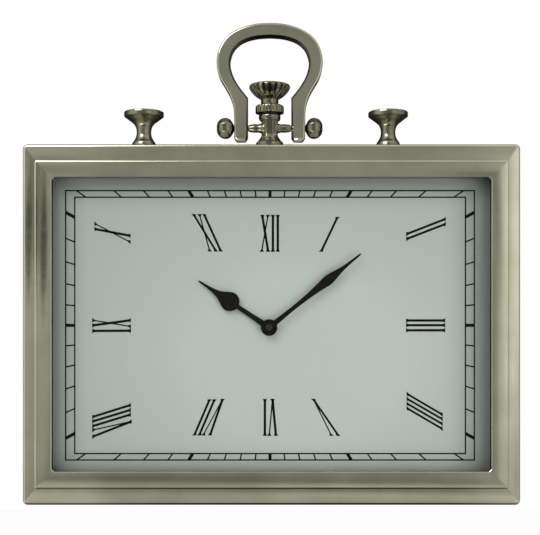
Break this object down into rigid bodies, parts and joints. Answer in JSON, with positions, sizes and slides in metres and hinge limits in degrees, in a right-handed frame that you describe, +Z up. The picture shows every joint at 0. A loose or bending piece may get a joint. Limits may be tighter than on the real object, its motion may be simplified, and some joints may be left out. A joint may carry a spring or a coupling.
{
  "type": "rectangular wall clock",
  "caption": "Landscape wall clock in a polished nickel case with stepped bezel, glass, pale dial, two hands, hinged watch-style bow, crown, mushroom knobs and a quartz movement.",
  "frame": {"origin": "centre of the keyhole's round entry in the hanger, on the wall plane", "axes": "+X to the right as seen from the front, +Y into the wall, +Z up"},
  "size_m": [0.4, 0.05, 0.3925],
  "materials": {
    "polished_nickel": "polished nickel plate, warm grey",
    "clear_glass": "flat clear pane",
    "black_rubber": "matt",
    "reveal_black": "matt black paint",
    "dial_paint": "satin pale grey-green paint",
    "hardboard": "pressed board, dark",
    "back_hardboard": "pressed board, painted black",
    "zinc_steel": "zinc plated",
    "black_plastic": "moulded",
    "cover_plastic": "moulded",
    "brass_parts": "turned",
    "gear_plastic": "moulded",
    "knob_plastic": "moulded",
    "coil_winding": "lacquered winding on a bobbin",
    "circuit_green": "lacquered board",
    "battery_sleeve": "plain sleeve",
    "spring_contact": "nickel plated spring strip",
    "hand_black": "matt black paint"
  },
  "bodies": {
    "clock_case": {"case_frame": "polished_nickel", "bezel": "polished_nickel", "stem_post": "polished_nickel", "stem_collar": "polished_nickel", "crown": "polished_nickel", "pivot_pin": "polished_nickel", "left_ball_end": "polished_nickel", "right_ball_end": "polished_nickel", "left_knob": "polished_nickel", "right_knob": "polished_nickel", "glass_pane": "clear_glass", "glass_gasket": "black_rubber", "rubber_washer": "black_rubber", "reveal_frame": "reveal_black", "dial_plate": "dial_paint", "dial_backing_board": "hardboard", "back_board": "back_hardboard", "dial_clips": "zinc_steel", "clip_nuts": "zinc_steel", "back_board_screws": "zinc_steel", "wall_hanger": "zinc_steel", "hanger_screws": "zinc_steel", "stem_screw": "zinc_steel", "knob_screws": "zinc_steel", "stator": "zinc_steel", "movement_base": "black_plastic", "movement_cover": "cover_plastic", "bush_washer": "brass_parts", "bush_nut": "brass_parts", "coil": "coil_winding", "circuit_board": "circuit_green", "battery": "battery_sleeve", "positive_contact": "spring_contact", "negative_contact": "spring_contact"},
    "bow": {"bow_handle": "polished_nickel"},
    "minute": {"minute_hand": "hand_black", "hand_nut": "hand_black", "minute_arbor": "brass_parts"},
    "hour": {"hour_hand": "hand_black", "hour_wheel": "gear_plastic"},
    "motion": {"motion_wheel": "gear_plastic"},
    "setting": {"setting_knob": "knob_plastic"},
    "centre": {"centre_wheel": "gear_plastic"},
    "third": {"third_wheel": "gear_plastic"},
    "second": {"second_wheel": "gear_plastic"},
    "intermediate": {"intermediate_wheel": "gear_plastic"},
    "rotor": {"rotor": "gear_plastic"}
  },
  "joints": [
    {"name": "bow_hinge", "type": "hinge", "parent": "clock_case", "child": "bow", "pos_m": [-0.0015, -0.0235, 0.0575], "axis": [1, 0, 0], "range_deg": [-110, 110]},
    {"name": "minute_turn", "type": "hinge", "parent": "clock_case", "child": "minute", "pos_m": [-0.0019, -0.042, -0.1064], "axis": [0, 1, 0], "continuous": true},
    {"name": "hour_turn", "type": "hinge", "parent": "clock_case", "child": "hour", "pos_m": [-0.0019, -0.041, -0.1064], "axis": [0, 1, 0], "continuous": true},
    {"name": "motion_turn", "type": "hinge", "parent": "clock_case", "child": "motion", "pos_m": [0.00562, -0.033, -0.10914], "axis": [0, 1, 0], "continuous": true},
    {"name": "setting_turn", "type": "hinge", "parent": "clock_case", "child": "setting", "pos_m": [0.01076, -0.018, -0.11526], "axis": [0, 1, 0], "continuous": true},
    {"name": "centre_turn", "type": "hinge", "parent": "clock_case", "child": "centre", "pos_m": [-0.0019, -0.031, -0.1064], "axis": [0, 1, 0], "continuous": true},
    {"name": "third_turn", "type": "hinge", "parent": "clock_case", "child": "third", "pos_m": [0.00447, -0.029, -0.09536], "axis": [0, 1, 0], "continuous": true},
    {"name": "second_turn", "type": "hinge", "parent": "clock_case", "child": "second", "pos_m": [-0.00488, -0.027, -0.08996], "axis": [0, 1, 0], "continuous": true},
    {"name": "intermediate_turn", "type": "hinge", "parent": "clock_case", "child": "intermediate", "pos_m": [-0.01249, -0.025, -0.09351], "axis": [0, 1, 0], "continuous": true},
    {"name": "rotor_turn", "type": "hinge", "parent": "clock_case", "child": "rotor", "pos_m": [-0.01662, -0.027, -0.09941], "axis": [0, 1, 0], "continuous": true}
  ],
  "couplings": [
    {"joint": "hour_turn", "follows": "minute_turn", "ratio": 0.083333},
    {"joint": "motion_turn", "follows": "minute_turn", "ratio": -0.33333},
    {"joint": "setting_turn", "follows": "minute_turn", "ratio": 1},
    {"joint": "second_turn", "follows": "rotor_turn", "ratio": 0.033333},
    {"joint": "intermediate_turn", "follows": "rotor_turn", "ratio": -0.2},
    {"joint": "third_turn", "follows": "rotor_turn", "ratio": -0.0041667},
    {"joint": "centre_turn", "follows": "rotor_turn", "ratio": 0.00055556}
  ]
}
